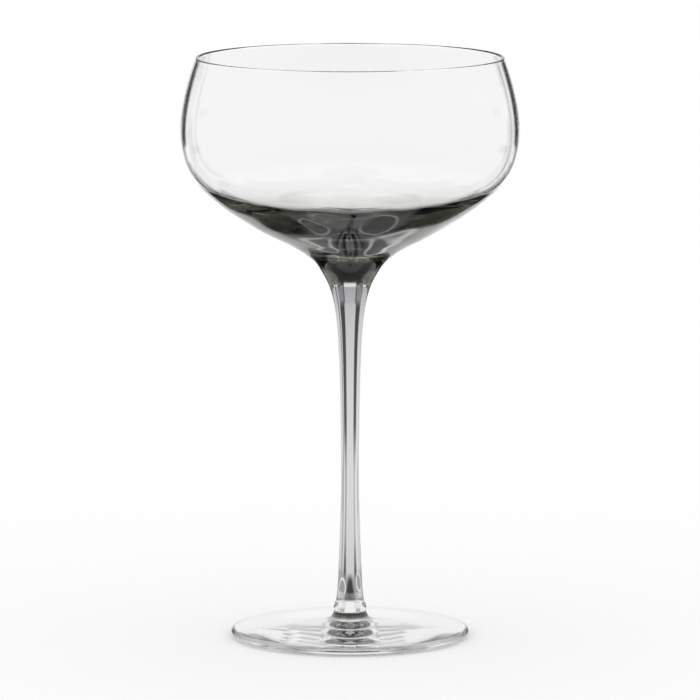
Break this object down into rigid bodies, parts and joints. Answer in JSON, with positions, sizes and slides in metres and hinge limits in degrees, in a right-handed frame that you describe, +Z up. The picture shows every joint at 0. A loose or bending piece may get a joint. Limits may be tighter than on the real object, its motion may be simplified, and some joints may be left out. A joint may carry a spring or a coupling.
{
  "type": "cocktail glass",
  "caption": "Stemmed coupe cocktail glass: clear round bowl in a smoke-tinted gather, solid drawn smoke stem and a clear disc foot with a low boss.",
  "frame": {"origin": "centre of the plane that the foot rests on", "axes": "+Z up along the stem, through the middle of the foot and the bowl; X and Y are alike, since every piece is turned about Z"},
  "size_m": [0.1102, 0.1102, 0.19],
  "materials": {
    "clear_glass": "fire-polished clear glass",
    "smoke_glass": "fire-polished smoke-tinted glass",
    "wafer_glass": "fire-polished clear glass"
  },
  "bodies": {
    "root": {"bowl": "clear_glass", "smoke_casing": "smoke_glass", "bowl_wafer": "wafer_glass", "stem": "smoke_glass", "foot_wafer": "wafer_glass", "foot": "clear_glass"}
  },
  "joints": []
}
